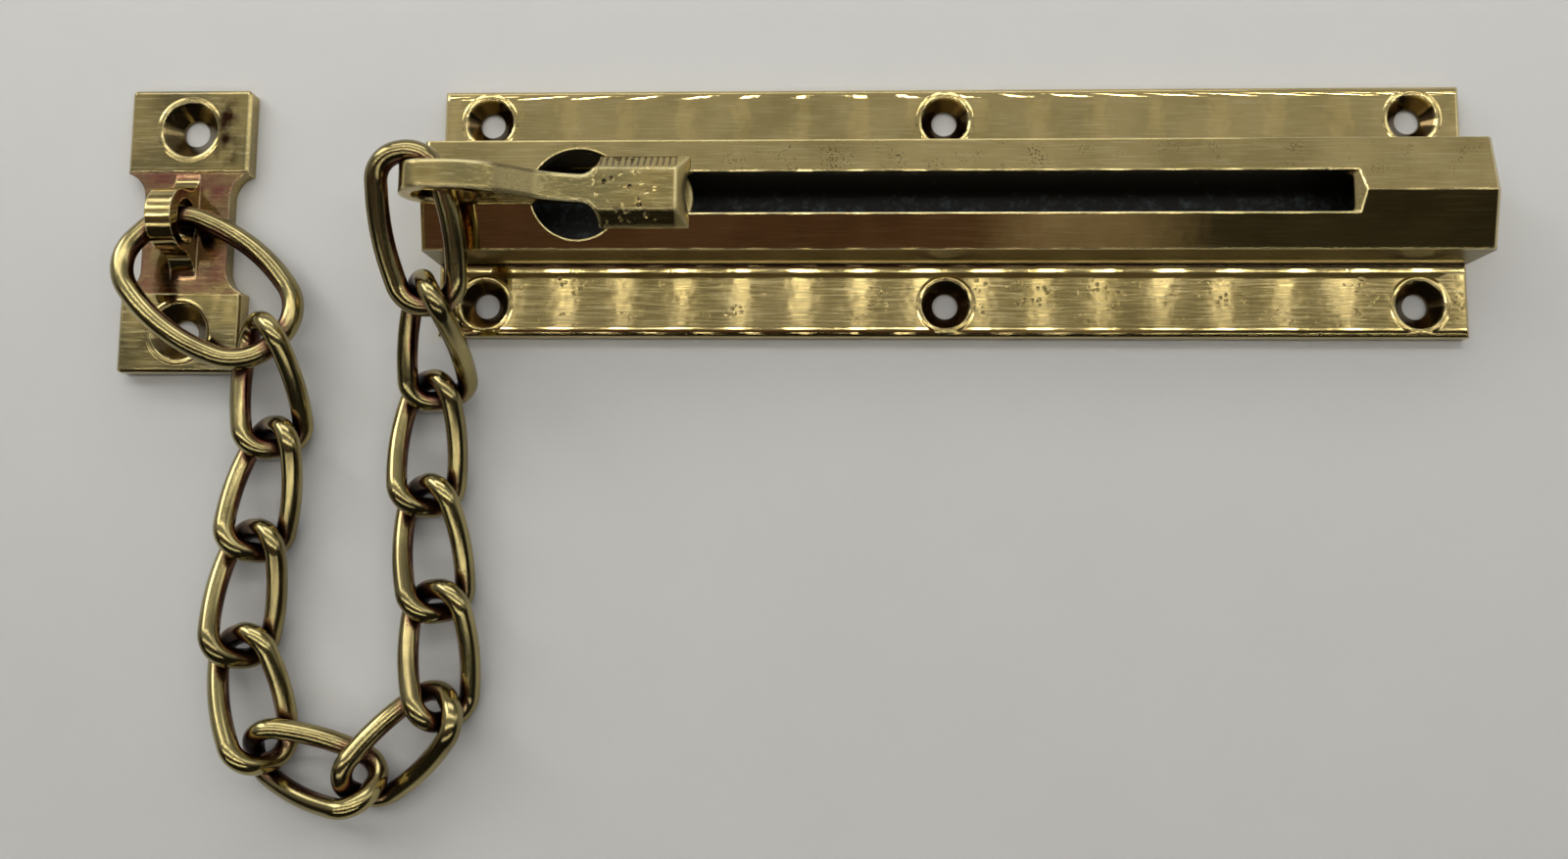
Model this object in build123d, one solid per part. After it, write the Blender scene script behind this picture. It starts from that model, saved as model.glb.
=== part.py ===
"""Brass door chain: slotted track, slider, curb chain, oval ring and staple plate.

The pieces lie flat on their backs as they are laid out on a table.  The origin is
the middle of the track's back face, +X runs along the track towards the closed end
of its slot, +Y runs across it, away from the chain, and +Z points out of the door.
All sizes are in millimetres.
"""

import os
from math import asin, cos, degrees, radians, sin, sqrt

from build123d import *

# Track: screw plate
PLATE_LENGTH = 178.0
PLATE_WIDTH = 44.4
PLATE_THICKNESS = 2.8
PLATE_EDGE = 0.5
SCREW_FROM_END = 8.2
SCREW_SPACING_Y = 33.0
SCREW_HOLE = 4.4
SCREW_HEAD = 8.6

# Track: gabled box with its slot and keyhole
BOX_WIDTH = 18.9
EAVE_HEIGHT = 13.75
RIDGE_HEIGHT = 16.0
BOX_WALL = 1.5
ROOF_THICKNESS = 2.0
END_WALL = 3.0
END_BEVEL = 0.8
FOOT_OF_WALL = 0.6
SLOT_WIDTH = 7.0
SLOT_FROM_END = 23.2
SLOT_CORNER = 1.2
SLOT_END_BEVEL = 1.6
KEYHOLE_FROM_END = 26.6
BACK_SHEET = 1.2
SHEET_PLAY = 0.1

# Slider: tongue on the roof, neck in the slot, foot inside the box
RUN_CLEARANCE = 0.3
KEYHOLE_CLEARANCE = 0.15
SLIDER_FROM_KEYHOLE = 11.4
FOOT_THICKNESS = 2.4
NECK_LENGTH = 11.0
TONGUE_LENGTH = 15.0
TONGUE_WIDTH = 12.2
TONGUE_TOP_WIDTH = 6.8
TONGUE_RISE = 1.7
TONGUE_EDGE = 0.4
TONGUE_NOSE = 2.0
SHOULDER_LENGTH = 4.2
SHOULDER_ROUND = 3.3

# Slider: arm and eye
ARM_WIDTH = 4.6
ARM_CREST = 11.0
ARM_TAIL = 12.0
EYE_REACH = 39.3
EYE_HEIGHT = 10.2
EYE_HOLE_LENGTH = 11.4
EYE_BAND = 2.0

# Curb links
WIRE = 3.5
LINK_LENGTH = 25.7
LINK_WIDTH = 14.7
LINK_END_WIDTH = 11.1
LINK_TWIST = 3.7
LINK_END_RADIUS = 3.9
LINK_SIDE_RADIUS = 44.0
LINK_PLAY = 0.6

# End link and staple ring
RING_WIRE = 3.7
END_LINK_LENGTH = 29.0
END_LINK_WIDTH = 16.3
END_LINK_END_WIDTH = 12.7
END_LINK_END_RADIUS = 4.8
END_LINK_SIDE_RADIUS = 44.0
RING_LENGTH = 33.8
RING_WIDTH = 26.6
RING_END_WIDTH = 17.8
RING_END_RADIUS = 8.0
RING_SIDE_RADIUS = 30.0

# Staple plate
STAPLE_LENGTH = 51.4
STAPLE_WIDTH = 21.8
STAPLE_THICKNESS = 3.4
STAPLE_EDGE = 0.5
WAIST_WIDTH = 15.4
WAIST_TOP = 10.6
WAIST_BOTTOM = 11.6
WAIST_RADIUS = 4.5
WAIST_SINK = 0.5
PAD_CORNER = 0.8
STAPLE_SCREW_SPACING = 36.8
STAPLE_SCREW_HOLE = 4.7
STAPLE_SCREW_HEAD = 10.2
LUG_OFFSET = 0.7
LUG_THICKNESS = 4.4
LUG_HEIGHT = 9.6
LUG_CROWN = 5.4
LUG_FOOT = 4.4
LUG_HOLE_LENGTH = 7.6
LUG_HOLE_HEIGHT = 6.4
LUG_SILL = 0.4

# How each loop lies: heading in plan, tilt down along the heading, and roll
END_LINK_LAY = (-82.1, 18.8, -0.1)
RING_LAY = (-37.1, 4.4, 17.1)
LINK_10_HEADING = -92.7
LINK_10_ROLL = -18.7
LINK_LAY = {
    "link_09": (-90, 0, 0),
    "link_08": (-82, -1, 0),
    "link_07": (-85, 1, 9),
    "link_06": (-136, 4, 4),
    "link_05": (-197, 5, -3),
    "link_04": (-254, 3, -13),
    "link_03": (-274, 4, -8),
    "link_02": (-278, 1, 0),
    "link_01": (-264.5, -10.5, 9.4),
}

# Where slack lets a loop lie off its neighbour's line, and the links' lift off the table
END_LINK_SLACK = (0.71, 0.37, 1.78)
LINK_10_SLACK = (-0.27, 0.15, 0.52)
LINK_10_LIFT = 0.48
LINK_09_SLACK = (-1.7, -0.13)
RING_SLACK = (0.77, -0.14, -1.06)
STAPLE_FROM_RING = (-7.06, 11.32)
LINK_LIFT = {
    "link_09": 0.4,
    "link_08": 0.2,
    "link_07": 0.15,
    "link_06": 0.4,
    "link_05": 0.4,
    "link_04": 0.55,
    "link_03": 0.5,
    "link_02": 0.1,
    "link_01": 0.6,
}

# How far a cutter runs past the face that it opens
OVERCUT = 1.0

# Places worked out from the sizes above
HALF_BOX = BOX_WIDTH / 2
ROOF_SLOPE = (RIDGE_HEIGHT - EAVE_HEIGHT) / HALF_BOX
ROOF_DROP = ROOF_THICKNESS * sqrt(1 + ROOF_SLOPE**2)
INNER_HALF = HALF_BOX - BOX_WALL
SCREW_SPACING_X = PLATE_LENGTH / 2 - SCREW_FROM_END
SLOT_END = PLATE_LENGTH / 2 - SLOT_FROM_END
KEYHOLE_X = KEYHOLE_FROM_END - PLATE_LENGTH / 2
SLIDER_X = KEYHOLE_X + SLIDER_FROM_KEYHOLE
FOOT_RADIUS = INNER_HALF - RUN_CLEARANCE
KEYHOLE_RADIUS = FOOT_RADIUS + KEYHOLE_CLEARANCE
EYE_LEFT = SLIDER_X - EYE_REACH
EYE_MIDDLE = RIDGE_HEIGHT + RUN_CLEARANCE + EYE_HEIGHT / 2
LINK_PITCH = LINK_LENGTH - 2 * WIRE - LINK_PLAY


def roof(y):
    """Height of the track's roof at a distance from its ridge."""
    return RIDGE_HEIGHT - ROOF_SLOPE * abs(y)


def screw_hole(hole, head, top):
    """Countersunk through hole on the Z axis, for a plate whose top is at the given height."""
    sink = (head - hole) / 2
    bore = Cylinder(hole / 2, 2 * (top + OVERCUT))
    cone = Pos(0, 0, top - sink / 2) * Cone(hole / 2, head / 2, sink)
    return bore + cone


def wire_loop(length, width, end_width, twist, end_radius, side_radius, wire):
    """Closed oval of round wire along Y, its two ends twisted opposite ways out of the XY plane."""
    end_y = (length - wire) / 2
    end_x = (end_width - wire) / 2
    side_x = (width - wire) / 2
    half_path = FilletPolyline(
        (0, end_y, 0),
        (end_x, end_y, twist),
        (side_x, 0, 0),
        (end_x, -end_y, -twist),
        (0, -end_y, 0),
        radius=[end_radius, side_radius, end_radius],
    ).wire()
    section = Plane(origin=half_path @ 0, z_dir=half_path % 0) * Circle(wire / 2)
    half = sweep(section, path=half_path)
    return half + Rot(0, 0, 180) * half


def laid(lay):
    """Turn a loop so that its far end (-Y) points along the heading, tilted down and rolled."""
    heading, tilt, roll = lay
    return Rot(0, 0, heading + 90) * Rot(tilt, 0, 0) * Rot(0, roll, 0)


def along(lay, distance):
    """Step of the given length down the long axis of a loop."""
    heading, tilt, _ = lay
    flat = distance * cos(radians(tilt))
    return Vector(flat * cos(radians(heading)), flat * sin(radians(heading)), -distance * sin(radians(tilt)))


def height_on_table(link, name):
    """Height of a link's middle when it lies on the table at its own lift."""
    return LINK_LIFT[name] - (laid(LINK_LAY[name]) * link).bounding_box().min.Z


def lay_chain(link):
    """Middle and lay of every loop, from the slider's eye along the chain."""
    top_end = Vector(EYE_LEFT, (ARM_WIDTH + RING_WIRE) / 2, EYE_MIDDLE) + Vector(END_LINK_SLACK)
    place = top_end + along(END_LINK_LAY, (END_LINK_LENGTH - RING_WIRE) / 2)
    chain = {"end_link": (place, END_LINK_LAY)}

    # link_10 hangs from the end link down to link_09, which lies on the table
    inner_half = LINK_LENGTH / 2 - WIRE
    hung = place + along(END_LINK_LAY, END_LINK_LENGTH / 2 - RING_WIRE) + Vector(LINK_10_SLACK)
    drop = hung.Z - height_on_table(link, "link_09") - LINK_10_LIFT
    lay = (LINK_10_HEADING, degrees(asin(drop / (inner_half + LINK_PITCH / 2))), LINK_10_ROLL)
    chain["link_10"] = (hung + along(lay, inner_half), lay)
    end = chain["link_10"][0] + along(lay, LINK_PITCH / 2) + Vector(*LINK_09_SLACK, 0)

    for name, lay in LINK_LAY.items():
        place = end + along(lay, LINK_PITCH / 2)
        place = Vector(place.X, place.Y, height_on_table(link, name))
        chain[name] = (place, lay)
        end = place + along(lay, LINK_PITCH / 2)

    bow = place + along(lay, inner_half)
    ring_place = bow - along(RING_LAY, RING_LENGTH / 2 - RING_WIRE) + Vector(RING_SLACK)
    chain["staple_ring"] = (ring_place, RING_LAY)
    return chain


def make_track():
    """Casting with two screw flanges and a hollow gabled box, open at the back."""
    plate = Pos(0, 0, PLATE_THICKNESS / 2) * Box(PLATE_LENGTH, PLATE_WIDTH, PLATE_THICKNESS)
    plate = chamfer(plate.faces().sort_by(Axis.Z)[-1].edges(), PLATE_EDGE)
    gable = Plane.YZ * Polygon(
        (-HALF_BOX, 0),
        (HALF_BOX, 0),
        (HALF_BOX, EAVE_HEIGHT),
        (0, RIDGE_HEIGHT),
        (-HALF_BOX, EAVE_HEIGHT),
        align=None,
    )
    box = extrude(gable, PLATE_LENGTH / 2, both=True)
    roof_ends = box.edges().filter_by(lambda e: e.center().Z > EAVE_HEIGHT).filter_by(Axis.X, reverse=True)
    box = chamfer(roof_ends, END_BEVEL)
    body = plate + box
    top_edges = body.edges().filter_by(Axis.X).filter_by_position(Axis.Z, PLATE_THICKNESS, PLATE_THICKNESS)
    wall_feet = top_edges.sort_by(lambda e: abs(e.center().Y))[:2]
    body = fillet(wall_feet, FOOT_OF_WALL)

    hollow = Plane.YZ * Polygon(
        (-INNER_HALF, -OVERCUT),
        (INNER_HALF, -OVERCUT),
        (INNER_HALF, roof(INNER_HALF) - ROOF_DROP),
        (0, RIDGE_HEIGHT - ROOF_DROP),
        (-INNER_HALF, roof(INNER_HALF) - ROOF_DROP),
        align=None,
    )
    body -= extrude(hollow, PLATE_LENGTH / 2 - END_WALL, both=True)

    slot_length = SLOT_END - KEYHOLE_X
    slot = Pos((SLOT_END + KEYHOLE_X) / 2, 0) * RectangleRounded(slot_length, SLOT_WIDTH, SLOT_CORNER)
    opening = slot + Pos(KEYHOLE_X, 0) * Circle(KEYHOLE_RADIUS)
    body -= Pos(0, 0, EAVE_HEIGHT / 2) * extrude(opening, RIDGE_HEIGHT)
    end_bevel = Plane.XZ * Polygon(
        (SLOT_END - OVERCUT, RIDGE_HEIGHT - SLOT_END_BEVEL - OVERCUT),
        (SLOT_END + SLOT_END_BEVEL + OVERCUT, RIDGE_HEIGHT + OVERCUT),
        (SLOT_END - OVERCUT, RIDGE_HEIGHT + OVERCUT),
        align=None,
    )
    body -= extrude(end_bevel, SLOT_WIDTH / 2, both=True)

    hole = screw_hole(SCREW_HOLE, SCREW_HEAD, PLATE_THICKNESS)
    return body - [place * hole for place in GridLocations(SCREW_SPACING_X, SCREW_SPACING_Y, 3, 2)]


def make_back_sheet():
    """Dark sheet let into the open back of the track's box: the floor seen through the slot."""
    length = PLATE_LENGTH - 2 * END_WALL - 2 * SHEET_PLAY
    width = 2 * INNER_HALF - 2 * SHEET_PLAY
    return Pos(0, 0, BACK_SHEET / 2) * Box(length, width, BACK_SHEET)


def make_tongue():
    """Faceted saddle that rides on the roof, narrowed by two rounded shoulders to meet the arm."""
    half = TONGUE_WIDTH / 2
    top = RIDGE_HEIGHT + TONGUE_RISE
    skirt = roof(half) + RUN_CLEARANCE
    saddle = Plane.YZ * Polygon(
        (-half, skirt),
        (0, RIDGE_HEIGHT + RUN_CLEARANCE),
        (half, skirt),
        (half, skirt + TONGUE_EDGE),
        (TONGUE_TOP_WIDTH / 2, top),
        (-TONGUE_TOP_WIDTH / 2, top),
        (-half, skirt + TONGUE_EDGE),
        align=None,
    )
    front = SLIDER_X + TONGUE_LENGTH / 2
    shoulder_x = SLIDER_X - TONGUE_LENGTH / 2 - SHOULDER_LENGTH
    tongue = Pos(shoulder_x, 0, 0) * extrude(saddle, front - shoulder_x)
    nose = Plane.XZ * Polygon(
        (front, skirt + TONGUE_EDGE),
        (front, top + OVERCUT),
        (front - TONGUE_NOSE, top + OVERCUT),
        (front - TONGUE_NOSE, top),
        align=None,
    )
    tongue -= extrude(nose, TONGUE_WIDTH, both=True)
    shoulder = RectangleRounded(2 * SHOULDER_LENGTH, TONGUE_WIDTH - ARM_WIDTH, SHOULDER_ROUND)
    for side in (-half, half):
        tongue -= Pos(shoulder_x, side, EAVE_HEIGHT) * extrude(shoulder, top + OVERCUT - EAVE_HEIGHT)
    return tongue


def make_slider():
    """Casting of tongue, arm and eye, with a neck through the slot and a round foot below the roof."""
    under = RIDGE_HEIGHT + RUN_CLEARANCE
    top = RIDGE_HEIGHT + TONGUE_RISE
    eye_top = EYE_MIDDLE + EYE_HEIGHT / 2
    eye_end = EYE_LEFT + EYE_HEIGHT / 2
    hole_x = EYE_LEFT + EYE_BAND + EYE_HOLE_LENGTH / 2
    arm_end = SLIDER_X - TONGUE_LENGTH / 2
    with BuildPart() as arm:
        with BuildSketch(Plane.XZ):
            with BuildLine():
                crown = Line((eye_end, eye_top), (hole_x, eye_top))
                slope = Bezier(
                    crown @ 1,
                    (hole_x + ARM_CREST, eye_top),
                    (arm_end - ARM_TAIL, top),
                    (arm_end, top),
                )
                drop = Line(slope @ 1, (arm_end, under))
                base = Line(drop @ 1, (eye_end, under))
                ThreePointArc(base @ 1, (EYE_LEFT, EYE_MIDDLE), crown @ 0)
            make_face()
        extrude(amount=ARM_WIDTH / 2, both=True)
    hole = Plane.XZ * Pos(hole_x, EYE_MIDDLE) * SlotOverall(EYE_HOLE_LENGTH, EYE_HEIGHT - 2 * EYE_BAND)
    eye = arm.part - extrude(hole, ARM_WIDTH, both=True)

    foot_top = roof(INNER_HALF) - ROOF_DROP - RUN_CLEARANCE
    foot = Pos(SLIDER_X, 0, foot_top - FOOT_THICKNESS / 2) * Cylinder(FOOT_RADIUS, FOOT_THICKNESS)
    neck_plan = SlotOverall(NECK_LENGTH, SLOT_WIDTH - 2 * RUN_CLEARANCE)
    neck_foot = foot_top - FOOT_THICKNESS / 2
    neck = Pos(SLIDER_X, 0, neck_foot) * extrude(neck_plan, (under + top) / 2 - neck_foot)
    return make_tongue() + eye + foot + neck


def make_staple_plate():
    """Waisted screw plate with an upright pierced lug for the ring, cast in one."""
    waist = WAIST_TOP + WAIST_BOTTOM
    waist_middle = (WAIST_TOP - WAIST_BOTTOM) / 2
    bite_width = STAPLE_WIDTH - WAIST_WIDTH
    plan = RectangleRounded(STAPLE_WIDTH, STAPLE_LENGTH, PAD_CORNER)
    for side in (-1, 1):
        bite = RectangleRounded(2 * bite_width, waist, WAIST_RADIUS)
        plan -= Pos(side * (WAIST_WIDTH / 2 + bite_width), waist_middle) * bite
    plate = extrude(plan, STAPLE_THICKNESS)
    plate = chamfer(plate.faces().sort_by(Axis.Z)[-1].edges(), STAPLE_EDGE)
    floor = STAPLE_THICKNESS - WAIST_SINK
    plate -= Pos(0, waist_middle, floor + OVERCUT / 2) * Box(STAPLE_WIDTH, waist, OVERCUT)

    crown = STAPLE_THICKNESS + LUG_HEIGHT - LUG_CROWN
    with BuildSketch(Plane.YZ) as arch:
        with BuildLine():
            left_foot = JernArc((-LUG_CROWN - LUG_FOOT, floor), (1, 0), LUG_FOOT, 90)
            left_side = Line(left_foot @ 1, (-LUG_CROWN, crown))
            top = ThreePointArc(left_side @ 1, (0, crown + LUG_CROWN), (LUG_CROWN, crown))
            right_side = Line(top @ 1, (LUG_CROWN, floor + LUG_FOOT))
            right_foot = JernArc(right_side @ 1, (0, -1), LUG_FOOT, 90)
            Polyline(
                right_foot @ 1,
                (LUG_CROWN + LUG_FOOT, floor - WAIST_SINK),
                (-LUG_CROWN - LUG_FOOT, floor - WAIST_SINK),
                left_foot @ 0,
            )
        make_face()
    hole_middle = STAPLE_THICKNESS + LUG_SILL + LUG_HOLE_HEIGHT / 2
    lug = extrude(arch.sketch, LUG_THICKNESS / 2, both=True)
    eye = Plane.YZ * Pos(0, hole_middle) * SlotOverall(LUG_HOLE_LENGTH, LUG_HOLE_HEIGHT)
    lug = Pos(0, LUG_OFFSET, 0) * (lug - extrude(eye, LUG_THICKNESS, both=True))

    hole = screw_hole(STAPLE_SCREW_HOLE, STAPLE_SCREW_HEAD, STAPLE_THICKNESS)
    holes = [place * hole for place in GridLocations(STAPLE_WIDTH, STAPLE_SCREW_SPACING, 1, 2)]
    return plate + lug - holes


def make_parts():
    """Every piece of the door chain in its place, by node name."""
    link = wire_loop(
        LINK_LENGTH, LINK_WIDTH, LINK_END_WIDTH, LINK_TWIST, LINK_END_RADIUS, LINK_SIDE_RADIUS, WIRE
    )
    end_link = wire_loop(
        END_LINK_LENGTH,
        END_LINK_WIDTH,
        END_LINK_END_WIDTH,
        0,
        END_LINK_END_RADIUS,
        END_LINK_SIDE_RADIUS,
        RING_WIRE,
    )
    ring = wire_loop(
        RING_LENGTH, RING_WIDTH, RING_END_WIDTH, 0, RING_END_RADIUS, RING_SIDE_RADIUS, RING_WIRE
    )
    parts = {"track": make_track(), "back_sheet": make_back_sheet(), "slider": make_slider()}
    chain = lay_chain(link)
    for name, (place, lay) in chain.items():
        loop = {"end_link": end_link, "staple_ring": ring}.get(name, link)
        parts[name] = Pos(place) * laid(lay) * loop
    ring_place = chain["staple_ring"][0]
    staple_x, staple_y = STAPLE_FROM_RING
    parts["staple_plate"] = Pos(ring_place.X + staple_x, ring_place.Y + staple_y, 0) * make_staple_plate()
    return parts


os.makedirs("parts", exist_ok=True)
for node, shape in make_parts().items():
    export_step(shape, f"parts/{node}.step")
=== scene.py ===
"""Finishes and stage for an old brass door chain, laid out on its back on a pale table."""

import math

import bpy
from bpy.props import FloatProperty, FloatVectorProperty, PointerProperty
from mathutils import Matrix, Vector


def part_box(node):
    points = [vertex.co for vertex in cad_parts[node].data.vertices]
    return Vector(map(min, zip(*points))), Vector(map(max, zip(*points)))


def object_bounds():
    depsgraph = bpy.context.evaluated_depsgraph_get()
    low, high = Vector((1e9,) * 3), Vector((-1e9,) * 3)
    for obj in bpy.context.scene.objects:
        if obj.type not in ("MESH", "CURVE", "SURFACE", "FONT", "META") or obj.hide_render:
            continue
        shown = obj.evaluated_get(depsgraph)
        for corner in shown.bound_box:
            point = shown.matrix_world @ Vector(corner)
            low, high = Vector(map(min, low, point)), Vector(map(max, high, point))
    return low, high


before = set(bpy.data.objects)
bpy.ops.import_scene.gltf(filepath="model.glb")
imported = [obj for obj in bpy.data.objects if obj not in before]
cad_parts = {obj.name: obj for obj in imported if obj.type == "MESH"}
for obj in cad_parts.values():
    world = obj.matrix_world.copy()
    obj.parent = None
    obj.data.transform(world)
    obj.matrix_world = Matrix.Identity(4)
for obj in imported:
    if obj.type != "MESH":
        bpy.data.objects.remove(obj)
CAD_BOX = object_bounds()

bl_info = {
    "name": "Brass Door Chain",
    "version": (1, 0, 0),
    "blender": (4, 5, 0),
    "location": "View3D > Sidebar > Door Chain",
    "description": "Gives a brass door chain its finishes and sets it on a pale table",
    "category": "Object",
}

MM = 0.001
LOOPS = [
    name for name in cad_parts
    if name.startswith("link_") or name in ("end_link", "staple_ring")
]

# Places and sizes on the castings, in millimetres of the frame.
FLANGE_TOP = 3.2
FLANGE_FOOT = (-11.2, -9.6)  # Y where the lower flange starts to rise, and where it meets the wall
FLANGE_CURVE = 0.17  # how far a flange rises at its foot and falls at its edge
EDGE_WIDTH = 1.3  # width of the falling edge
EDGE_INSET = 0.5  # from the plate's side, where the worn rounding takes over
WALL_FACE = 9.45  # Y of the box's walls, on both sides
WALL_TOP = 13.4
TRACK_SCREW_INSET = 8.2  # from the track's end
TRACK_SCREW_Y = 16.5
TRACK_HEAD = 8.6
STAPLE_SCREW_STEP = 18.4  # from the staple's middle
STAPLE_HEAD = 10.2
STAPLE_WAIST_TOP = 3.15

BEVEL_SAMPLES = 6
HOLLOW_SAMPLES = 8

PHOTO_WIDTH = 1600  # pixels
SENSOR_WIDTH = 36  # millimetres
NEAREST_SEEN = 5 * MM
TABLE_SIZE = 8.0  # metres, so that low views end in table
TABLE_GAP = 0.05 * MM  # keeps the table clear of the flat backs

# Soft lights: name, place and size in metres, power in watts.
LIGHTS = (
    ("high_window", (-0.2, 1.5, 0.85), (1.6, 0.5), 7.0),
    ("left_panel", (-1.3, 0.95, 0.8), (0.5, 0.9), 6.5),
    ("right_panel", (2.0, 0.9, 1.1), (0.7, 1.3), 3.0),
)

# Rows of overhead lamps: the slopes along Y where a row starts, peaks and ends,
# its glow, and half a lamp's width as a share of the lamp pitch.
LAMP_ROWS = (
    (-0.85, -0.65, -0.5, 14.0, 0.12),
    (-0.04, 0.06, 0.13, 28.0, 0.12),
    (0.165, 0.245, 0.262, 5.0, 0.095),
    (0.3, 0.36, 0.42, 0.52, 0.2),
    (0.46, 0.6, 0.85, 22.0, 0.1),
)
LAMP_SHIFT = 0.42  # of a pitch, to the right of the object's middle
LAMP_TINT = (1.0, 0.98, 0.92)

# Levels of the grey ceiling by height, from the horizon to overhead.
CEILING = ((0.0, 0.26), (0.35, 0.32), (0.65, 0.43), (1.0, 0.42))
HORIZON = (0.42, 0.42, 0.41, 1)

# Colours of the side behind the viewer, from left to right.
BEHIND = (
    (0.0, (0.1, 0.075, 0.06)), (0.22, (0.08, 0.045, 0.036)), (0.59, (0.085, 0.048, 0.038)),
    (0.64, (0.24, 0.2, 0.17)), (0.7, (0.18, 0.15, 0.12)), (0.74, (0.035, 0.032, 0.026)),
    (1.0, (0.03, 0.028, 0.022)),
)
LOW_BEHIND = (0.02, 0.018, 0.016, 1)


def linear(hex_colour):
    """Linear RGB of an sRGB hex colour."""
    channels = [int(hex_colour[i:i + 2], 16) / 255 for i in (1, 3, 5)]
    return tuple(c / 12.92 if c <= 0.04045 else ((c + 0.055) / 1.055) ** 2.4 for c in channels)


def colour_property(name, description, hex_colour):
    """Colour swatch whose default is an sRGB hex colour."""
    return FloatVectorProperty(
        name=name, description=description, subtype="COLOR", size=3, min=0, max=1,
        default=linear(hex_colour),
    )


def size_property(name, description, millimetres):
    """Length that is given in millimetres and kept in metres."""
    return FloatProperty(
        name=name, description=description, unit="LENGTH", default=millimetres * MM
    )


class BrassFinish(bpy.types.PropertyGroup):
    """Colours of the brass and the sizes of the marks on it."""

    clean: colour_property("Clean brass", "Rubbed brass", "#D2BC80")
    dull: colour_property("Dull brass", "Brass gone slightly green and grey", "#B9A56C")
    aged: colour_property("Aged brass", "Brass that hands have darkened evenly", "#A89B6A")
    aged_dull: colour_property("Dull aged brass", "Clouds of duller aged brass", "#867A54")
    pale: colour_property("Pale brass", "Bare brass along edges and brush marks", "#F1E3AE")
    # On the wire loops, this brown is also painted shade on the inner sides and where they are
    # hemmed in.
    brown: colour_property("Browned brass", "Old polish and tarnish in the hollows", "#3B2415")
    copper: colour_property("Coppery brass", "Red brass where tarnish thins out", "#85574A")
    # Near-black: dirt where the loops touch, and also painted shade there and along the feet of the
    # track's walls.
    grime_and_shade: colour_property("Grime", "Nearly black dirt where pieces touch", "#170F0A")
    brush_width: size_property("Brush mark", "Width of a mark, coarse enough to show", 0.35)
    cloud_size: size_property("Clouding", "Size of the clouds of duller brass", 11.0)
    edge_round: size_property("Edge rounding", "Radius worn onto the edges", 0.5)
    filed_round: size_property("Filed rounding", "Radius filed onto the slider's edges", 1.1)
    file_pitch: size_property("File marks", "Distance between the tongue's file marks", 1.05)


class StageSettings(bpy.types.PropertyGroup):
    """Table, light and camera."""

    table: colour_property("Table", "Pale painted table top", "#C5C5C3")
    lamp_pitch: FloatProperty(
        name="Lamp pitch", default=0.0465,
        description="Spacing of the overhead lamps, as a slope seen from the table",
    )
    camera_place: FloatVectorProperty(
        name="Camera place", description="Where the camera stands", subtype="TRANSLATION",
        unit="LENGTH", default=(-19.21 * MM, -62.27 * MM, 225.75 * MM),
    )
    camera_turn: FloatVectorProperty(
        name="Camera turn", description="How the camera is turned from looking straight down",
        subtype="EULER", default=(0.106804, 0.038023, 0.008366),
    )
    focal_pixels: FloatProperty(
        name="Focal length", default=1327.66,
        description="Focal length in pixels of the photograph's width",
    )


def add_node(tree, kind, inputs=None, **settings):
    """Add a node with its settings, its inputs linked or set, and return its output."""
    node = tree.nodes.new(kind)
    for name, value in settings.items():
        setattr(node, name, value)
    for socket, source in (inputs or {}).items():
        if isinstance(source, bpy.types.NodeSocket):
            tree.links.new(source, node.inputs[socket])
        else:
            node.inputs[socket].default_value = source
    return next((output for output in node.outputs if output.enabled), None)


def new_tree(name):
    """Empty node material, its tree and the object coordinates in millimetres."""
    material = bpy.data.materials.new(name)
    material.use_nodes = True
    tree = material.node_tree
    tree.nodes.clear()
    place = add_node(tree, "ShaderNodeTexCoord").node.outputs["Object"]
    mm = add_node(tree, "ShaderNodeMapping", {"Vector": place, "Scale": (1 / MM, 1 / MM, 1 / MM)})
    return material, tree, mm


def dress(name, material):
    """Give a CAD node a material."""
    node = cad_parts[name]
    node.data.materials.clear()
    node.data.materials.append(material)


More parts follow.
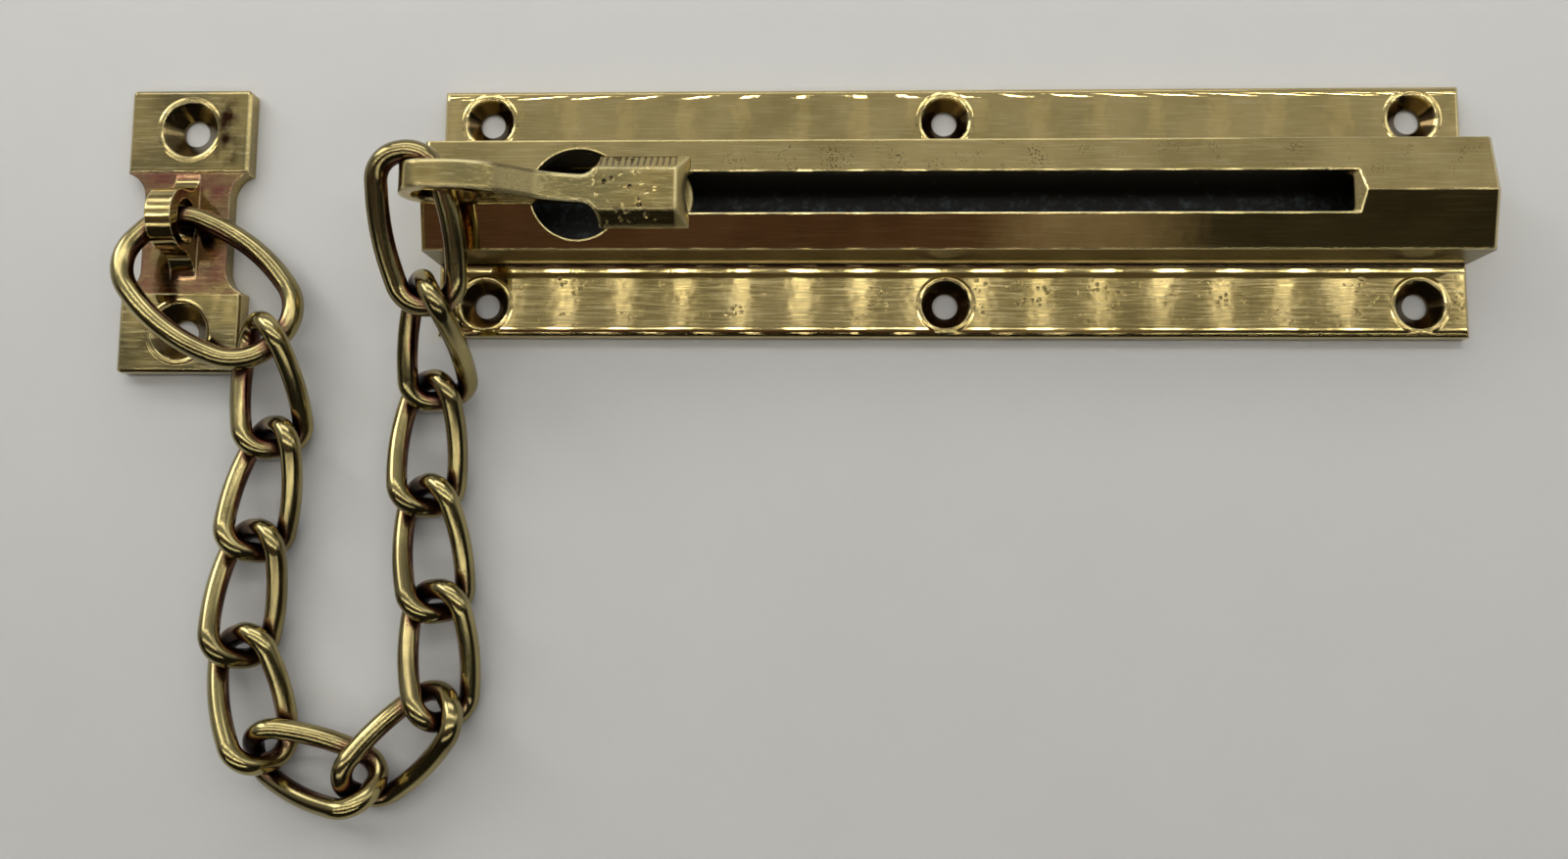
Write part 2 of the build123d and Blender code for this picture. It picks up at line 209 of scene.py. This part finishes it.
class Brass:
    """Old polished brass in the making: its colour, roughness and relief grow mark by mark.

    The eye gets a warm, clouded metal with fine brush marks, pale worn edges and browned hollows.
    All sizes are in millimetres, apart from those that come from the finish, which are in metres.
    """

    def __init__(self, name, finish, rough, brushed, colours, streaks=(0.45, 0.0025), edge=None):
        self.finish = finish
        self.material, self.tree, self.mm = new_tree(name)
        self.axes = self.add("ShaderNodeSeparateXYZ", {0: self.mm}).node.outputs

        clouds = self.add(
            "ShaderNodeTexNoise",
            {"Vector": self.mm, "Scale": MM / finish.cloud_size, "Detail": 5.0},
        )
        cloudy = self.add(
            "ShaderNodeMapRange", {"Value": clouds, "From Min": 0.38, "From Max": 0.64}
        )
        self.colour = self.add(
            "ShaderNodeMix", {"Factor": cloudy, "A": (*colours[0], 1), "B": (*colours[1], 1)},
            data_type="RGBA",
        )
        stretch = self.add("ShaderNodeMapping", {"Vector": self.mm, "Scale": brushed})
        strokes = self.add(
            "ShaderNodeTexNoise",
            {"Vector": stretch, "Scale": MM / finish.brush_width, "Detail": 3.0},
        )
        self.rough = self.add(
            "ShaderNodeMapRange",
            {"Value": strokes, "From Min": 0.3, "From Max": 0.75,
             "To Min": rough[0], "To Max": rough[1]},
        )
        self.normal = self.add(
            "ShaderNodeBevel", {"Radius": edge or finish.edge_round}, samples=BEVEL_SAMPLES
        )
        facing = self.add("ShaderNodeNewGeometry").node.outputs["Normal"]
        turn = self.add(
            "ShaderNodeVectorMath", {0: self.normal, 1: facing}, operation="DOT_PRODUCT"
        )
        bright = self.add(
            "ShaderNodeMapRange",
            {"Value": strokes, "From Min": 0.5, "From Max": 0.8, "To Max": streaks[0]},
        )
        self.mark(bright, finish.pale)
        self.mark(strokes, depth=streaks[1])
        worn = self.add(
            "ShaderNodeMapRange", {"Value": turn, "From Min": 0.99, "From Max": 0.9, "To Max": 0.8}
        )
        self.mark(worn, finish.pale, dull=-0.05)

    def add(self, kind, inputs=None, **settings):
        """Add a node to this brass."""
        return add_node(self.tree, kind, inputs, **settings)

    def mark(self, mask, colour=None, dull=0.0, depth=0.0):
        """Leave a mark where a mask is: a colour, a duller polish and a relief."""
        if colour:
            self.colour = self.add(
                "ShaderNodeMix", {"Factor": mask, "A": self.colour, "B": (*colour, 1)},
                data_type="RGBA",
            )
        if dull:
            self.rough = self.add(
                "ShaderNodeMath", {0: mask, 1: dull, 2: self.rough}, operation="MULTIPLY_ADD"
            )
        if depth:
            self.normal = self.add(
                "ShaderNodeBump",
                {"Height": mask, "Distance": abs(depth) * MM, "Normal": self.normal},
                invert=depth < 0,
            )

    def region(self, soft, **ranges):
        """Mask of a box-shaped region, given as axis=(low, high), with soft sides."""
        mask = None
        for axis, (low, high) in ranges.items():
            for edge, out in ((low, -soft), (high, soft)):
                side = self.add(
                    "ShaderNodeMapRange",
                    {"Value": self.axes[axis], "From Min": edge + out, "From Max": edge - out},
                    interpolation_type="SMOOTHSTEP",
                )
                mask = side if mask is None else self.add(
                    "ShaderNodeMath", {0: mask, 1: side}, operation="MULTIPLY"
                )
        return mask

    def patches(self, size, low, high, region):
        """Ragged patches of a size inside a region."""
        noise = self.add(
            "ShaderNodeTexNoise", {"Vector": self.mm, "Scale": 1 / size, "Detail": 4.0}
        )
        ragged = self.add("ShaderNodeMapRange", {"Value": noise, "From Min": low, "From Max": high})
        return self.add("ShaderNodeMath", {0: ragged, 1: region}, operation="MULTIPLY")

    def pits(self, spacing, depth, patch, low, high, region):
        """Small casting pits, in ragged patches of a region."""
        dots = self.add("ShaderNodeTexVoronoi", {"Vector": self.mm, "Scale": 1 / spacing})
        dots = self.add(
            "ShaderNodeMapRange", {"Value": dots, "From Min": 0.42, "From Max": 0.22, "To Max": 0.7}
        )
        pitted = self.patches(patch, low, high, region)
        pitted = self.add("ShaderNodeMath", {0: dots, 1: pitted}, operation="MULTIPLY")
        self.mark(pitted, self.finish.brown, depth=-depth)

    def unevenness(self, size, depth, along=1.0):
        """Slow unevenness left by hand polishing, drawn out along X."""
        stretch = self.add("ShaderNodeMapping", {"Vector": self.mm, "Scale": (1 / along, 1, 1)})
        waves = self.add(
            "ShaderNodeTexNoise", {"Vector": stretch, "Scale": 1 / size, "Detail": 1.0}
        )
        self.mark(waves, depth=depth)

    def curved(self, start, end, rise):
        """Curve a flange across its width, from a start to its foot or edge."""
        part = self.add(
            "ShaderNodeMapRange", {"Value": self.axes["Y"], "From Min": start, "From Max": end}
        )
        curve = self.add("ShaderNodeMath", {0: part, 1: 2.0}, operation="POWER")
        flange = self.region(0.1, Z=(0.0, FLANGE_TOP))
        curve = self.add("ShaderNodeMath", {0: curve, 1: flange}, operation="MULTIPLY")
        self.mark(curve, dull=-0.05, depth=rise)

    def countersink(self, x, y, head, browned=0.86):
        """Brown the countersink of a screw hole and raise a worn burr round it."""
        flat = self.add("ShaderNodeCombineXYZ", {"X": self.axes["X"], "Y": self.axes["Y"]})
        reach = self.add("ShaderNodeVectorMath", {0: flat, 1: (x, y, 0)}, operation="DISTANCE")
        rim = head / 2
        inside = self.add(
            "ShaderNodeMapRange",
            {"Value": reach, "From Min": rim, "From Max": rim - 0.5, "To Max": browned},
        )
        self.mark(inside, self.finish.brown, dull=0.14)
        edge = self.add("ShaderNodeMath", {0: reach, 1: rim + 0.45}, operation="SUBTRACT")
        edge = self.add("ShaderNodeMath", {0: edge}, operation="ABSOLUTE")
        burr = self.add(
            "ShaderNodeMapRange", {"Value": edge, "From Min": 0.5, "From Max": 0.0},
            interpolation_type="SMOOTHSTEP",
        )
        self.mark(burr, depth=0.07)

    def openness(self, depth):
        """How open the surface is within a depth: 1 in the clear, 0 in a tight hollow."""
        return self.add(
            "ShaderNodeAmbientOcclusion", {"Distance": depth * MM}, samples=HOLLOW_SAMPLES
        ).node.outputs["AO"]

    def roughened(self, mask, size):
        """Mask whose border is made ragged at a size."""
        noise = self.add(
            "ShaderNodeTexNoise", {"Vector": self.mm, "Scale": 1 / size, "Detail": 3.0}
        )
        return self.add("ShaderNodeMath", {0: noise, 1: 0.5, 2: mask}, operation="MULTIPLY_ADD")

    def stain(self, value, start, end, colour, amount=1.0, dull=0.0):
        """Stain softly, from none where a value is at its start to the full amount at its end."""
        mask = self.add(
            "ShaderNodeMapRange",
            {"Value": value, "From Min": start, "From Max": end, "To Max": amount},
            interpolation_type="SMOOTHSTEP",
        )
        self.mark(mask, colour, dull=dull)

    def hollows(self, depth, full, none):
        """Brown the hollows, with a coppery rim, from no stain to the full one by openness."""
        sky = self.roughened(self.openness(depth), size=1.2)
        self.stain(sky, none + 0.25, full + 0.35, self.finish.copper, amount=0.75)
        self.stain(sky, 0.75 * none + 0.25, full + 0.25, self.finish.brown, dull=0.2)

    def touching(self, depth, full, none):
        """Black dirt and painted shade, with a coppery rim, where other pieces come within a depth.
        """
        sky = self.openness(depth)
        self.stain(sky, none + 0.14, none - 0.04, self.finish.copper, amount=0.75, dull=0.12)
        self.stain(sky, none, full, self.finish.grime_and_shade, dull=0.12)

    def inner_side(self, centre):
        """Coppery brown tarnish and painted shade on the inner side of a loop, the side that faces
        its middle.
        """
        inward = self.add("ShaderNodeVectorMath", {0: centre, 1: self.mm}, operation="SUBTRACT")
        inward = self.add("ShaderNodeVectorMath", {0: inward}, operation="NORMALIZE")
        own_facing = self.add("ShaderNodeTexCoord").node.outputs["Normal"]
        side = self.add(
            "ShaderNodeVectorMath", {0: inward, 1: own_facing}, operation="DOT_PRODUCT"
        )
        side = self.roughened(side, size=2.0)
        self.stain(side, 0.6, 0.95, self.finish.copper, amount=0.9)
        self.stain(side, 0.8, 1.1, self.finish.brown, amount=0.9)

    def done(self):
        """Finish the shader."""
        metal = self.add(
            "ShaderNodeBsdfPrincipled",
            {"Base Color": self.colour, "Roughness": self.rough, "Normal": self.normal,
             "Metallic": 1.0},
        )
        self.add("ShaderNodeOutputMaterial", {"Surface": metal})
        return self.material


def brushed_track_brass(finish):
    """Cast brass, brushed along its length.

    The eye gets streaky flanges, dark countersinks and a painted shadow along the feet of the
    walls.
    """
    brass = Brass("brushed_cast_brass", finish, rough=(0.03, 0.1), brushed=(0.05, 1, 1),
                  colours=(finish.clean, finish.dull))
    brass.unevenness(9.0, 0.015)
    brass.unevenness(2.4, 0.006)
    brass.unevenness(0.9, 0.003, along=4.0)

    end, side, _ = (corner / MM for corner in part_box("track")[1])
    edge = side - EDGE_INSET
    brass.curved(*FLANGE_FOOT, FLANGE_CURVE)
    brass.curved(EDGE_WIDTH - edge, -edge, -FLANGE_CURVE)
    brass.curved(edge - EDGE_WIDTH, edge, -FLANGE_CURVE)
    for y in (-WALL_FACE, WALL_FACE):
        wall = brass.region(0.3, Y=(y - 0.4, y + 0.4), Z=(FLANGE_TOP + 0.2, WALL_TOP))
        brass.mark(wall, finish.aged_dull, dull=0.28)
        # Painted shadow: a near-black line where each wall meets its flange.
        foot = brass.region(0.2, Y=(y - 0.25, y + 0.25), Z=(FLANGE_TOP - 0.6, FLANGE_TOP + 0.3))
        brass.mark(foot, finish.grime_and_shade)

    lower_flange = brass.region(2.0, Y=(-19.0, -11.5), Z=(2.0, FLANGE_TOP))
    brass.pits(spacing=1.0, depth=0.035, patch=5.0, low=0.54, high=0.66, region=lower_flange)
    upper_roof = brass.region(1.0, Y=(3.0, 8.5), Z=(9.0, 30.0))
    brass.pits(spacing=0.5, depth=0.004, patch=4.0, low=0.52, high=0.66, region=upper_roof)
    screw_x = end - TRACK_SCREW_INSET
    for x in (-screw_x, 0, screw_x):
        for y in (-TRACK_SCREW_Y, TRACK_SCREW_Y):
            brass.countersink(x, y, TRACK_HEAD)
    brass.hollows(depth=1.6, full=0.15, none=0.6)
    return brass.done()


def filed_slider_brass(finish):
    """Cast brass finished with a file.

    The eye gets fine nicks across the tongue's upper bevel, pits on its top and a matt end.
    """
    brass = Brass("filed_cast_brass", finish, rough=(0.1, 0.22), brushed=(0.1, 1, 1),
                  colours=(finish.dull, finish.aged), streaks=(0.3, 0.0015),
                  edge=finish.filed_round)
    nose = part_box("slider")[1][0] / MM
    # The bands of a wave texture repeat every pi / (10 * scale).
    lines = brass.add(
        "ShaderNodeTexWave",
        {"Vector": brass.mm, "Scale": math.pi * MM / (10 * finish.file_pitch),
         "Distortion": 0.6, "Detail": 1.0},
        bands_direction="X",
    )
    lines = brass.add(
        "ShaderNodeMapRange", {"Value": lines, "From Min": 0.55, "From Max": 0.95, "To Max": 0.7}
    )
    bevel = brass.region(0.3, X=(nose - 16.5, nose - 2.2), Y=(3.9, 7.0))
    nicks = brass.add("ShaderNodeMath", {0: lines, 1: bevel}, operation="MULTIPLY")
    brass.mark(nicks, finish.brown, depth=-0.1)
    tongue = brass.region(1.0, X=(nose - 15.5, nose - 6.0))
    brass.pits(spacing=1.3, depth=0.3, patch=2.6, low=0.47, high=0.55, region=tongue)
    # Painted shade: the bend of the arm is darkened to dim its reflection of the high window.
    dimmed_bend = brass.region(0.8, X=(nose - 31.0, nose - 25.0))
    brass.mark(dimmed_bend, finish.aged_dull, dull=0.1)
    filed_end = brass.region(0.4, X=(nose - 2.4, nose + 1.0))
    brass.mark(filed_end, dull=0.3)
    brass.unevenness(6.0, 0.035)
    brass.hollows(depth=3.0, full=0.12, none=0.5)
    return brass.done()


def worn_staple_brass(finish):
    """Cast brass left rough in the waist.

    The eye gets coppery tarnish in the waist, a brown stain beside the upper hole and dark holes.
    """
    brass = Brass("worn_cast_brass", finish, rough=(0.05, 0.13), brushed=(0.06, 1, 1),
                  colours=(finish.dull, finish.aged_dull), streaks=(0.5, 0.0025))
    low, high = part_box("staple_plate")
    x, y, _ = ((a + b) / 2 / MM for a, b in zip(low, high))
    brass.unevenness(7.0, 0.06)
    for step in (-STAPLE_SCREW_STEP, STAPLE_SCREW_STEP):
        brass.countersink(x, y + step, STAPLE_HEAD, browned=0.6)
    waist = brass.region(0.1, Z=(2.6, STAPLE_WAIST_TOP), Y=(y - 11.6, y + 10.6))
    brass.mark(brass.patches(4.0, 0.25, 0.7, waist), finish.copper, dull=0.1, depth=0.05)
    beside_hole = brass.region(1.2, X=(x + 5.0, x + 8.6), Y=(y + 12, y + 24))
    brass.mark(brass.patches(3.2, 0.4, 0.62, beside_hole), finish.brown)
    brass.hollows(depth=3.0, full=0.15, none=0.6)
    return brass.done()


def polished_wire_brass(finish, loop):
    """Brass wire bent and closed by hand.

    The eye gets an even dark polish, browned inside the loop by tarnish and painted shade, and
    black with dirt and painted shade where the loops rub.
    """
    brass = Brass("polished_brass_wire_" + loop, finish, rough=(0.12, 0.17), brushed=(1, 0.3, 1),
                  colours=(finish.aged, finish.aged_dull), streaks=(0.06, 0.0003))
    low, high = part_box(loop)
    brass.unevenness(7.0, 0.016)
    brass.inner_side([(a + b) / 2 / MM for a, b in zip(low, high)])
    # Painted shade in part: this browning by openness also darkens the wire where the other loops
    # and the table shade it.
    brass.hollows(depth=6.0, full=0.15, none=0.3)
    brass.touching(depth=3.4, full=0.4, none=0.7)
    return brass.done()


def blackened_sheet():
    """Blackened steel sheet at the bottom of the slot.

    The eye gets a dark floor with bluish dusty specks, thinned toward the upper wall by its painted
    shadow.
    """
    material, tree, mm = new_tree("blackened_steel_sheet")
    specks = add_node(
        tree, "ShaderNodeTexNoise",
        {"Vector": mm, "Scale": 1 / 2.0, "Detail": 6.0, "Roughness": 0.7},
    )
    # Painted shadow of the upper wall: the specks fade out toward it.
    upper_wall_shadow = add_node(tree, "ShaderNodeSeparateXYZ", {0: mm}).node.outputs["Y"]
    upper_wall_shadow = add_node(
        tree, "ShaderNodeMapRange",
        {"Value": upper_wall_shadow, "From Min": 2.0, "From Max": 5.5, "To Max": -0.14},
    )
    specks = add_node(tree, "ShaderNodeMath", {0: specks, 1: upper_wall_shadow}, operation="ADD")
    dust = add_node(tree, "ShaderNodeValToRGB", {"Fac": specks})
    stops = ((0.5, "#0A0D0F"), (0.74, "#4C585F"))
    for stop, (position, colour) in zip(dust.node.color_ramp.elements, stops):
        stop.position = position
        stop.color = (*linear(colour), 1)
    sheet = add_node(tree, "ShaderNodeBsdfPrincipled", {"Base Color": dust, "Roughness": 0.6})
    add_node(tree, "ShaderNodeOutputMaterial", {"Surface": sheet})
    return material


def painted_table(colour):
    """Matt painted table top.

    The eye gets a plain pale surface with the faintest mottle, and painted light that brightens it
    a little beyond the object.
    """
    material, tree, mm = new_tree("matt_painted_table")
    mottle = add_node(  # clouds some 33 mm wide
        tree, "ShaderNodeTexNoise", {"Vector": mm, "Scale": 0.03, "Detail": 5.0}
    )
    across = add_node(tree, "ShaderNodeSeparateXYZ", {0: mm}).node.outputs["Y"]
    tone = add_node(
        tree, "ShaderNodeMapRange", {"Value": mottle, "To Min": 0.97, "To Max": 1.03}
    )
    # Painted light: the table brightens toward +Y, beyond the object.
    painted_light_gradient = add_node(
        tree, "ShaderNodeMapRange",
        {"Value": across, "From Min": -130.0, "From Max": 170.0, "To Max": 0.34},
        interpolation_type="SMOOTHSTEP",
    )
    tone = add_node(tree, "ShaderNodeMath", {0: tone, 1: painted_light_gradient}, operation="ADD")
    shade = add_node(tree, "ShaderNodeVectorMath", {0: tone, 1: colour}, operation="MULTIPLY")
    paint = add_node(tree, "ShaderNodeBsdfPrincipled", {"Base Color": shade, "Roughness": 0.8})
    add_node(tree, "ShaderNodeOutputMaterial", {"Surface": paint})
    return material


class DOORCHAIN_OT_track(bpy.types.Operator):
    """Brushed cast brass on the track"""

    bl_idname = "doorchain.track"
    bl_label = "Finish track"

    def execute(self, context):
        dress("track", brushed_track_brass(context.scene.door_chain_brass))
        return {"FINISHED"}


class DOORCHAIN_OT_slider(bpy.types.Operator):
    """Filed cast brass on the slider"""

    bl_idname = "doorchain.slider"
    bl_label = "Finish slider"

    def execute(self, context):
        dress("slider", filed_slider_brass(context.scene.door_chain_brass))
        return {"FINISHED"}


class DOORCHAIN_OT_staple(bpy.types.Operator):
    """Worn cast brass on the staple plate"""

    bl_idname = "doorchain.staple"
    bl_label = "Finish staple plate"

    def execute(self, context):
        dress("staple_plate", worn_staple_brass(context.scene.door_chain_brass))
        return {"FINISHED"}


class DOORCHAIN_OT_loops(bpy.types.Operator):
    """Polished brass wire on the links and the ring"""

    bl_idname = "doorchain.loops"
    bl_label = "Finish links and ring"

    def execute(self, context):
        for loop in LOOPS:
            dress(loop, polished_wire_brass(context.scene.door_chain_brass, loop))
        return {"FINISHED"}


class DOORCHAIN_OT_back_sheet(bpy.types.Operator):
    """Blackened sheet behind the slot"""

    bl_idname = "doorchain.back_sheet"
    bl_label = "Finish back sheet"

    def execute(self, context):
        dress("back_sheet", blackened_sheet())
        return {"FINISHED"}


def add_light(name, place, size, power):
    """Rectangular soft light that looks at the object from its place."""
    light = bpy.data.lights.new(name, "AREA")
    light.shape = "RECTANGLE"
    light.size, light.size_y = size
    light.energy = power
    lamp = bpy.data.objects.new(name, light)
    lamp.location = place
    aim = -lamp.location
    lamp.rotation_euler = aim.to_track_quat("-Z", "Y").to_euler()
    bpy.context.scene.collection.objects.link(lamp)


def room_world(lamp_pitch):
    """Room over the table: a grey ceiling with rows of lamps, and a dark warm side behind.

    Directions are told apart by their slopes, X and Y over height, as the flat brass mirrors them.
    """
    world = bpy.data.worlds.new("room")
    world.use_nodes = True
    tree = world.node_tree
    tree.nodes.clear()
    look = add_node(tree, "ShaderNodeTexCoord").node.outputs["Generated"]
    axes = add_node(tree, "ShaderNodeSeparateXYZ", {0: look}).node.outputs
    height = add_node(tree, "ShaderNodeMath", {0: axes["Z"], 1: 0.02}, operation="MAXIMUM")
    slope_x = add_node(tree, "ShaderNodeMath", {0: axes["X"], 1: height}, operation="DIVIDE")
    slope_y = add_node(tree, "ShaderNodeMath", {0: axes["Y"], 1: height}, operation="DIVIDE")

    ceiling = add_node(tree, "ShaderNodeValToRGB", {"Fac": axes["Z"]})
    ramp = ceiling.node.color_ramp
    for position, _ in CEILING[1:-1]:
        ramp.elements.new(position)
    for stop, (_, level) in zip(ramp.elements, CEILING):
        stop.color = (level, level, level, 1)
    nearer = add_node(
        tree, "ShaderNodeMapRange",
        {"Value": slope_y, "From Min": 0.28, "From Max": 0.34, "To Min": 0.66},
    )
    ceiling = add_node(tree, "ShaderNodeVectorMath", {0: ceiling, 1: nearer}, operation="MULTIPLY")

    across = add_node(
        tree, "ShaderNodeMapRange", {"Value": slope_x, "From Min": -0.6, "From Max": 0.6}
    )
    behind = add_node(tree, "ShaderNodeValToRGB", {"Fac": across})
    ramp = behind.node.color_ramp
    for position, _ in BEHIND[1:-1]:
        ramp.elements.new(position)
    for stop, (_, colour) in zip(ramp.elements, BEHIND):
        stop.color = (*colour, 1)
    room = ceiling
    for start, end, side in ((-0.02, -0.12, behind), (-0.32, -0.55, LOW_BEHIND)):
        turned = add_node(
            tree, "ShaderNodeMapRange", {"Value": slope_y, "From Min": start, "From Max": end},
            interpolation_type="SMOOTHSTEP",
        )
        room = add_node(
            tree, "ShaderNodeMix", {"Factor": turned, "A": room, "B": side}, data_type="RGBA"
        )

    # Distance to the nearest lamp of a row, and how the rows fade out at both sides.
    spot = add_node(
        tree, "ShaderNodeMath", {0: slope_x, 1: LAMP_SHIFT * lamp_pitch}, operation="SUBTRACT"
    )
    spot = add_node(tree, "ShaderNodeMath", {0: spot, 1: lamp_pitch / 2}, operation="PINGPONG")
    aside = add_node(tree, "ShaderNodeMath", {0: slope_x}, operation="ABSOLUTE")
    aside = add_node(
        tree, "ShaderNodeMapRange", {"Value": aside, "From Min": 1.0, "From Max": 0.9}
    )
    for low, peak, high, glow, width in LAMP_ROWS:
        rise = add_node(
            tree, "ShaderNodeMapRange", {"Value": slope_y, "From Min": low, "From Max": peak}
        )
        fall = add_node(
            tree, "ShaderNodeMapRange", {"Value": slope_y, "From Min": high, "From Max": peak}
        )
        row = add_node(tree, "ShaderNodeMath", {0: rise, 1: fall}, operation="MULTIPLY")
        reach = width * lamp_pitch
        lamps = add_node(
            tree, "ShaderNodeMapRange",
            {"Value": spot, "From Min": reach, "From Max": reach / 2, "To Max": aside},
            interpolation_type="SMOOTHSTEP",
        )
        lit = add_node(tree, "ShaderNodeMath", {0: row, 1: lamps}, operation="MULTIPLY")
        shine = (*(glow * tint for tint in LAMP_TINT), 1)
        room = add_node(
            tree, "ShaderNodeMix", {"Factor": lit, "A": room, "B": shine}, data_type="RGBA"
        )
    low = add_node(
        tree, "ShaderNodeMapRange", {"Value": axes["Z"], "From Min": 0.12, "From Max": 0.03}
    )
    room = add_node(
        tree, "ShaderNodeMix", {"Factor": low, "A": room, "B": HORIZON}, data_type="RGBA"
    )
    glow = add_node(tree, "ShaderNodeBackground", {"Color": room, "Strength": 1.0})
    add_node(tree, "ShaderNodeOutputWorld", {"Surface": glow})
    return world


class DOORCHAIN_OT_stage(bpy.types.Operator):
    """Pale table, soft light and the camera"""

    bl_idname = "doorchain.stage"
    bl_label = "Set the stage"

    def execute(self, context):
        stage = context.scene.door_chain_stage
        bpy.ops.object.select_all(action="DESELECT")
        table_top = CAD_BOX[0][2] - TABLE_GAP
        bpy.ops.mesh.primitive_plane_add(size=TABLE_SIZE, location=(0, 0, table_top))
        table = context.active_object
        table.name = "table"
        table.data.materials.append(painted_table(stage.table))

        for light in LIGHTS:
            add_light(*light)
        context.scene.world = room_world(stage.lamp_pitch)

        camera = bpy.data.cameras.new("camera")
        camera.sensor_fit = "HORIZONTAL"
        camera.sensor_width = SENSOR_WIDTH
        camera.lens = SENSOR_WIDTH * stage.focal_pixels / PHOTO_WIDTH
        camera.clip_start = NEAREST_SEEN
        eye = bpy.data.objects.new("camera", camera)
        eye.location = stage.camera_place
        eye.rotation_euler = stage.camera_turn
        context.scene.collection.objects.link(eye)
        context.scene.camera = eye
        context.scene.view_settings.view_transform = "Standard"
        return {"FINISHED"}


class DOORCHAIN_PT_panel(bpy.types.Panel):
    """Lists the finishing steps and their settings"""

    bl_idname = "DOORCHAIN_PT_panel"
    bl_label = "Door Chain"
    bl_space_type = "VIEW_3D"
    bl_region_type = "UI"
    bl_category = "Door Chain"

    def draw(self, context):
        for step in STEPS:
            self.layout.operator(step.bl_idname)
        for settings in (context.scene.door_chain_brass, context.scene.door_chain_stage):
            for name in settings.bl_rna.properties.keys():
                if name not in ("rna_type", "name"):
                    self.layout.prop(settings, name)


STEPS = (
    DOORCHAIN_OT_track,
    DOORCHAIN_OT_slider,
    DOORCHAIN_OT_staple,
    DOORCHAIN_OT_loops,
    DOORCHAIN_OT_back_sheet,
    DOORCHAIN_OT_stage,
)
CLASSES = (BrassFinish, StageSettings, *STEPS, DOORCHAIN_PT_panel)


def register():
    for cls in CLASSES:
        bpy.utils.register_class(cls)
    bpy.types.Scene.door_chain_brass = PointerProperty(type=BrassFinish)
    bpy.types.Scene.door_chain_stage = PointerProperty(type=StageSettings)


def unregister():
    del bpy.types.Scene.door_chain_stage
    del bpy.types.Scene.door_chain_brass
    for cls in reversed(CLASSES):
        bpy.utils.unregister_class(cls)


def main():
    register()
    bpy.ops.doorchain.track()
    bpy.ops.doorchain.slider()
    bpy.ops.doorchain.staple()
    bpy.ops.doorchain.loops()
    bpy.ops.doorchain.back_sheet()
    bpy.ops.doorchain.stage()


if __name__ == "__main__":
    main()
